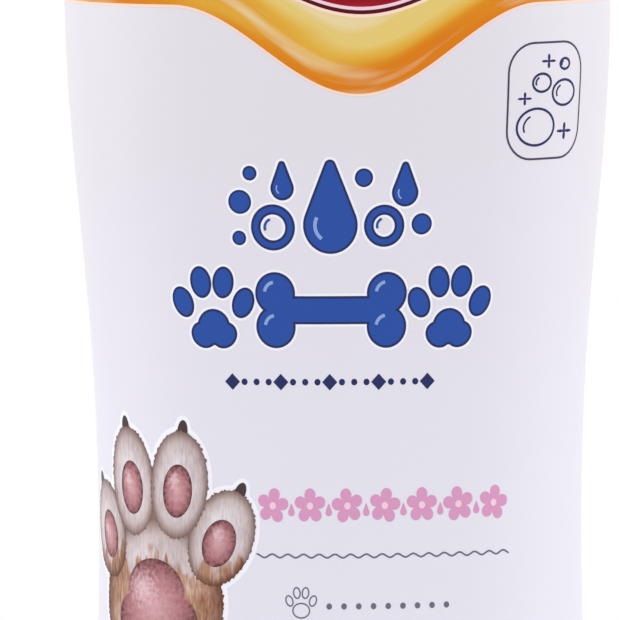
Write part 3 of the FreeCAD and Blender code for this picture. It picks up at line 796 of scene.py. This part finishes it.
def make_beads():
    """A row of navy beads and diamonds under the splash."""
    first, last, count, level = -17.8, 14.4, 17, 89
    bead, diamond = (1, 20), (2.5, 4)  # size and number of corners
    parts = []
    for i, x in enumerate(np.linspace(first, last, count)):
        size, points = bead if i % 4 else diamond
        parts.append((pane(evened(ellipse((x, level), size, size, count=points))), 1, navy))
    print_piece("beads", parts)


def tufted(outline, depth, seed):
    """An outline with tufts of fur: every other point stands out by up to depth, and a little aside."""
    outline = evened(outline, TUFT)
    along = np.roll(outline, -1, 0) - np.roll(outline, 1, 0)
    along /= np.hypot(along[:, 0], along[:, 1])[:, None]
    chance = np.random.default_rng(seed)
    odd = np.arange(len(outline)) % 2
    reach = depth * odd * chance.uniform(0.1, 1, len(outline))
    aside = TUFT * odd * chance.uniform(-0.7, 0.7, len(outline))
    beside = np.column_stack([along[:, 1], -along[:, 0]])
    return outline + beside * reach[:, None] + along * aside[:, None]


def across(middle, width, height, lean=0):
    """Flow of a round shape: 1 from the middle to its outline."""
    return lambda flat: turned(flat - middle, (0, 0), -lean) / (width / 2, height / 2)


def make_paw():
    """A dog's raised foreleg that wraps round the left edge, the sole of its paw outwards."""
    middle = np.array((-33.2, 55.0))
    foot, palm_width, palm_height, palm_fade = 14, 26.4, 25.4, 7.5
    wrist, calf, calf_top = 9.4, 2.4, 44  # half the wrist's width, and what the calf adds below its top

    def half(z):
        """Half width of the leg at heights below the palm's middle."""
        palm = (palm_width / 2 - wrist) * np.exp(-(((z - middle[1]) / palm_fade) ** 2))
        return wrist + palm + calf * (np.clip(calf_top - z, 0, None) / (calf_top - foot)) ** 2

    def leg_flow(flat):
        """1 at the leg's sides and at the palm's top, 0 along its middle line."""
        x, z = (flat - middle).T
        beside = x / half(np.minimum(flat[:, 1], middle[1]))
        return np.column_stack([beside, np.clip(z / (palm_height / 2), 0, None)])

    levels = np.linspace(foot, middle[1], 60)
    right = np.column_stack([half(levels), levels - middle[1]])
    top = ellipse((0, 0), palm_width, palm_height, count=80)[1:40]
    limb = np.concatenate([right, top, right[::-1] * (-1, 1)]) + middle
    toes = [((-12.9, 10.4), 10.8, 15, -26, 3), ((-5.2, 18.2), 10.8, 16.2, -8, 3.5)]  # the left two
    toes += [((-x, z), width, height, -lean, rank) for (x, z), width, height, lean, rank in toes]
    fur, pad = fur_material(), pad_material()
    claw_width, claw_height, toe_glow, claw_glow = 1.9, 3.6, 1.8, 1.4
    webs = ellipse(middle + (0, 10), width=24, height=12)
    parts = [(pane(tufted(limb, depth=0.45, seed=1), webs), 2, fur, leg_flow)]
    wide = np.concatenate([right + (1, 0), top * 1.08, right[::-1] * (-1, 1) - (1, 0)])
    glow = [evened(wide + middle)]
    for seed, (place, width, height, lean, rank) in enumerate(toes, start=2):
        spot = middle + place
        tip = turned(np.array([(0, height / 2)]), spot, lean)[0]
        parts.append((pane(ellipse(tip, claw_width, claw_height, lean)), 2, claw))
        outline = tufted(ellipse(spot, width, height, lean), depth=0.4, seed=seed)
        parts.append((pane(outline), rank, fur, across(spot, width, height, lean)))
        sole = (width * 0.52, height * 0.5)
        rest = turned(np.array([(0, -0.06 * height)]), spot, lean)[0]
        parts.append((pane(ellipse(rest, *sole, lean)), rank + 1, pad, across(rest, *sole, lean)))
        glow.append(ellipse(spot, width + toe_glow, height + toe_glow, lean))
        glow.append(ellipse(tip, claw_width + claw_glow, claw_height + claw_glow, lean))
    heel = [((0, 1.6), 12.6, 10.4, 0), ((-4.4, -2.6), 8.6, 7.6, 24), ((4.4, -2.6), 8.6, 7.6, -24)]
    sole = pane(*[ellipse(middle + place, width, height, lean) for place, width, height, lean in heel])
    parts.append((sole, 3, pad, across(middle - (0, 0.4), width=17.5, height=14.6)))
    print_piece("paw", [(pane(*glow), 1, halo), *parts])


def make_blossoms():
    """A row of pink blossoms with buds between them."""
    first, last, count, level = -11.4, 26.2, 7, 70.4
    places = np.linspace(first, last, count)
    parts = []
    for i, x in enumerate(places):
        petals = star((x, level), 2.65, points=5, waist=0.42, sharpness=0.55, turn=90 + 9 * (i % 3 - 1))
        parts.append((pane(petals), 1, pink))
        parts.append((pane(ellipse((x, level), 1.1, 1.1, count=20)), 2, rose))
    for x in (places[1:] + places[:-1]) / 2:
        parts.append((pane(drop((x, level - 0.6), 1.1, 1.9)), 1, pink))
    print_piece("blossoms", parts)


RULE_WAVE, RULE_STEP = 2.64, 0.16  # length of a wavy rule's waves, and the step between its points


def wavy(first, last, level, tall=0.26):
    """The points of a wavy rule, which rises above its level and falls below it by tall."""
    x = np.arange(first, last, RULE_STEP)
    return np.column_stack([x, level + tall * np.cos(TURN * (x - first) / RULE_WAVE)])


def drawn_paw(middle, size, pen):
    """A paw print in outline, with a plain oval pad."""
    toes = paw_print(middle, size)[:-1]
    pad = ellipse((middle[0], middle[1] - 0.2 * size), 0.54 * size, 0.42 * size)
    shapes = [pad, *[toe(0)[0] for toe in toes]]
    return [(stroke(shape, pen, closed=True), 1, slate) for shape in shapes]


def make_lines():
    """The front's small line work: the wavy rule, a small paw and a row of dots."""
    first, last, count, level, size = -2, 17.8, 9, 55.3, 0.95  # the row of dots
    parts = [(stroke(wavy(first=-14.2, last=29.2, level=62.87), width=0.27), 1, slate)]
    parts += drawn_paw((-6.7, 55.7), size=5.2, pen=0.22)
    for x in np.linspace(first, last, count):
        parts.append((pane(ellipse((x, level), size, size, count=16)), 1, slate))
    print_piece("line_work", parts)


def make_back():
    """The back's rounded panel, with bubbles, drops and a paw between wavy rules."""
    middle, width, height, corner = (BACK, 92), 50, 84, 7
    bubbles = ((-9, 118, 4.2), (-1.4, 122.5, 2.6), (4.6, 116, 3.2), (11, 121, 2), (-14.5, 124, 1.6))
    drops = ((-12, 0.8), (0, 1.1), (12, 0.8))  # x, size
    frame_line = rounded_box(middle, width, height, corner)
    parts = [(stroke(frame_line, width=0.45, closed=True), 1, slate)]
    for level in (106, 78):
        rule = wavy(BACK - 18.5, BACK + 18.4, level, tall=0.34)
        parts.append((stroke(rule, width=0.36), 1, slate))
    parts += drawn_paw(middle, size=17, pen=0.5)
    for x, z, radius in bubbles:
        parts += make_bubble((BACK + x, z), radius, pen=0.4)
    for x, size in drops:
        parts += outlined(lambda grow: [drop((BACK + x, 64.5), 7.4 * size, 12 * size, grow)], blue)
    print_piece("back_panel", parts)


def make_hem():
    """Soft waves of rose and pink round the foot of the label."""
    floor = cut_low(ROUND) + BLEED
    far, near = hem_far(ROUND), hem_near(ROUND)
    waves = [
        (band(near, far, rows=8), 3, hem_rose, above(hem_near)),
        (band(floor, near, rows=6), 3, hem_pink, above(cut_low)),
    ]
    print_piece("hem_waves", waves)
    lines = [(band(level, level + HEM_LINE), rank, halo) for level, rank in ((far, 3), (near, 4))]
    print_piece("hem_lines", lines)


def make_film():
    """The shrunk film itself: a thin closed sleeve."""
    rows = 110
    columns = ROUND[:-1]
    low, high = (np.column_stack([columns, cut(columns)]) for cut in (cut_low, cut_high))
    shape = strip(low, high, rows, closed=True)
    vertices, faces, normals, flat = raised(shape, -FILM_THICKNESS, 0)
    finishes, maps = [0] * len(faces), {LABEL_MAP: flat}
    piece = mesh_object("sleeve_film", vertices, faces, finishes, [film_material()], normals, maps)
    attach(piece, "container")
    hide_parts("shrink_sleeve")


make_film()
make_waves()
make_badge()
make_splash()
make_beads()
make_paw()
make_blossoms()
make_lines()
make_back()
make_hem()

# ---------------------------------------------------------------- the frame's own pieces

FINISHES = {
    "bottle": bottle_material(),
    "shampoo": liquid_material(),
    "sealing_liner": foam_material(),
    "closure_body": closure_material("closure_polypropylene", (228, 228, 234), (234, 234, 239)),
    "dispensing_disc": closure_material("disc_polypropylene", (226, 226, 232), (233, 233, 238)),
}
for name, finish in FINISHES.items():
    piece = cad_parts[name].data
    piece.materials.clear()
    piece.materials.append(finish)

# ---------------------------------------------------------------- floor, light and camera

AIM = Vector((-0.0045, 0, 0.0975))  # the middle of the view, on the plane through the bottle's axis
ELEVATION = 5  # degrees
DISTANCE = 1.16
FIELD = 0.0944  # width of the view at the bottle's axis
ROLL = -0.3  # degrees that the view is turned on its own axis
SENSOR = 36

WHITE = (1, 1, 1, 1)
STUDIO_LIGHT = 0.87  # strength of the even light from all round
LAMP_PLACE = Vector((0.8, -0.11, 0.45))  # of the right lamp; the left one is its mirror image
LAMP_TARGET = Vector((0, 0, 0.11))
LAMP_SIZE = (1.0, 1.1)
LAMP_POWER = 2.83

FLOOR_REACH = 8
SHADOW_REACH = (0.13, 0.3)  # the floor's shaded part fades to plain white over these distances


def make_floor():
    """A pale floor that holds the bottle's shadow and fades to plain white behind it."""
    mesh = bpy.data.meshes.new("floor")
    low = cad_box[0].z
    corners = [(x * FLOOR_REACH, y * FLOOR_REACH, low) for x, y in ((-1, -1), (1, -1), (1, 1), (-1, 1))]
    mesh.from_pydata(corners, [], [(0, 1, 2, 3)])
    paint = Paint("floor_pale", Base_Color=shade(238, 238, 240), Roughness=0.9, Specular_IOR_Level=0.2)
    away = paint.length(paint.place())
    white = paint.node("Emission", {"Color": WHITE, "Strength": 1.0})
    share = paint.math("MULTIPLY", paint.seen(), paint.spread(away, 0, 1, *SHADOW_REACH))
    mix = paint.node("MixShader", {0: share, 1: paint.shader.outputs[0], 2: white.outputs[0]})
    paint.put(paint.tree.nodes["Material Output"].inputs["Surface"], mix.outputs[0])
    mesh.materials.append(paint.material)
    floor = bpy.data.objects.new("floor", mesh)
    bpy.context.scene.collection.objects.link(floor)


def make_lamp(name, hand):
    """A large soft lamp at the left, hand -1, or at the right, hand 1, turned to the bottle's middle."""
    place = LAMP_PLACE * Vector((hand, 1, 1))
    lamp = bpy.data.lights.new(name, "AREA")
    lamp.shape = "RECTANGLE"
    lamp.size, lamp.size_y = LAMP_SIZE
    lamp.energy = LAMP_POWER
    made = bpy.data.objects.new(name, lamp)
    made.location = place
    made.rotation_euler = (LAMP_TARGET - place).to_track_quat("-Z", "Y").to_euler()
    made.visible_camera = False
    bpy.context.scene.collection.objects.link(made)


def make_world():
    """A pale studio: plain white where it is seen, and a soft even light."""
    world = bpy.data.worlds.new("studio")
    world.use_nodes = True
    nodes = Nodes(world.node_tree)
    nodes.tree.nodes.clear()
    light = nodes.node("Background", {"Color": WHITE, "Strength": STUDIO_LIGHT})
    white = nodes.node("Background", {"Color": WHITE, "Strength": 1.0})
    mix = nodes.node("MixShader", {0: nodes.seen(), 1: light.outputs[0], 2: white.outputs[0]})
    nodes.node("OutputWorld", {"Surface": mix.outputs[0]})
    bpy.context.scene.world = world


def make_camera():
    camera = bpy.data.cameras.new("camera")
    camera.sensor_width = SENSOR
    camera.lens = SENSOR * DISTANCE / FIELD
    camera.clip_start, camera.clip_end = 0.05, 50
    made = bpy.data.objects.new("camera", camera)
    tilt = math.radians(ELEVATION)
    back = Vector((0, -math.cos(tilt), math.sin(tilt)))
    made.location = AIM + back * DISTANCE
    level = (-back).to_track_quat("-Z", "Y")
    made.rotation_euler = (level @ Euler((0, 0, math.radians(ROLL))).to_quaternion()).to_euler()
    bpy.context.scene.collection.objects.link(made)
    bpy.context.scene.camera = made


make_floor()
make_world()
make_lamp("lamp_left", hand=-1)
make_lamp("lamp_right", hand=1)
make_camera()
bpy.context.scene.view_settings.view_transform = "Standard"
